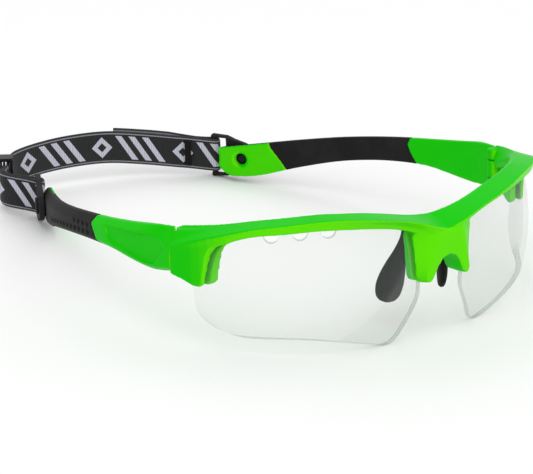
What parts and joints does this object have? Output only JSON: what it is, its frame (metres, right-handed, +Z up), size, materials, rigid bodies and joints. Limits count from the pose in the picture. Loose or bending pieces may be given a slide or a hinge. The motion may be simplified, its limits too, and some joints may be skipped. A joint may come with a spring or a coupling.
{
  "type": "sports protective goggles",
  "caption": "Half-rim wrap sports goggles with clear lenses, folding rubber-gripped temples, adjustable nose pads and an adjustable woven head strap on snap-in tabs.",
  "frame": {"origin": "middle of the bounding box, on the surface that the goggles lie on", "axes": "+X to the wearer's left, -Y to the front, +Z up; the goggles lie on the lower corners of the lenses and the strap tabs"},
  "size_m": [0.1414, 0.195, 0.0447],
  "materials": {
    "frame_green": "semi-gloss injection-moulded nylon, neon green",
    "lens_clear": "clear hard-coated polycarbonate",
    "screw_steel": "small stainless screw",
    "wire_steel": "soft steel core wire",
    "pad_rubber": "matte black soft rubber",
    "grip_rubber": "matte charcoal rubber overmould with fine ribs",
    "tab_plastic": "matte charcoal soft plastic",
    "stud_plastic": "satin black plastic",
    "strap_web": "black woven web with a pale lilac woven pattern",
    "tack_thread": "black bar-tack thread",
    "glide_plastic": "black moulded buckle"
  },
  "bodies": {
    "front": {"front_frame": "frame_green", "lens_left": "lens_clear", "lens_right": "lens_clear", "hinge_screw_left": "screw_steel", "hinge_screw_right": "screw_steel"},
    "nose_left": {"nose_wire_left": "wire_steel", "nose_pad_left": "pad_rubber"},
    "nose_right": {"nose_wire_right": "wire_steel", "nose_pad_right": "pad_rubber"},
    "temple_left": {"temple_left": "frame_green", "grip_left": "grip_rubber", "anchor_tab_left": "tab_plastic", "anchor_stud_left": "stud_plastic"},
    "temple_right": {"temple_right": "frame_green", "grip_right": "grip_rubber"},
    "strap": {"strap_webbing": "strap_web", "strap_bar_tack": "tack_thread"},
    "strap_end": {"anchor_tab_right": "tab_plastic", "anchor_stud_right": "stud_plastic"},
    "slider": {"tri_glide": "glide_plastic"}
  },
  "joints": [
    {"name": "temple_left_fold", "type": "hinge", "parent": "front", "child": "temple_left", "pos_m": [0.0646, -0.04752, 0.0296], "axis": [0, 0.0637, 0.998], "range_deg": [0, 70]},
    {"name": "temple_right_fold", "type": "hinge", "parent": "front", "child": "temple_right", "pos_m": [-0.0646, -0.04752, 0.0296], "axis": [0, -0.0637, -0.998], "range_deg": [0, 85]},
    {"name": "strap_swing", "type": "hinge", "parent": "temple_left", "child": "strap", "pos_m": [0.0384, 0.07165, 0.00816], "axis": [0, 0.0637, 0.998], "range_deg": [-171.5, 0]},
    {"name": "strap_bend", "type": "hinge", "parent": "strap", "child": "strap_end", "pos_m": [0.0056, 0.09095, 0.01223], "axis": [0, 0.0637, 0.998], "range_deg": [-70, 0], "deforming": ["strap_webbing"]},
    {"name": "slider_travel", "type": "slide", "parent": "strap_end", "child": "slider", "axis": [0.617, 0.7854, -0.0502], "range_m": [-0.002, 0.003]},
    {"name": "nose_left_flex", "type": "hinge", "parent": "front", "child": "nose_left", "pos_m": [0.0066, -0.08596, 0.03346], "axis": [0, 0.998, -0.0637], "range_deg": [-8, 8]},
    {"name": "nose_right_flex", "type": "hinge", "parent": "front", "child": "nose_right", "pos_m": [-0.0066, -0.08596, 0.03346], "axis": [0, -0.998, 0.0637], "range_deg": [-8, 8]}
  ],
  "couplings": [
    {"joint": "strap_swing", "follows": "temple_left_fold", "ratio": -2.45},
    {"joint": "strap_bend", "follows": "temple_left_fold", "ratio": -1}
  ]
}
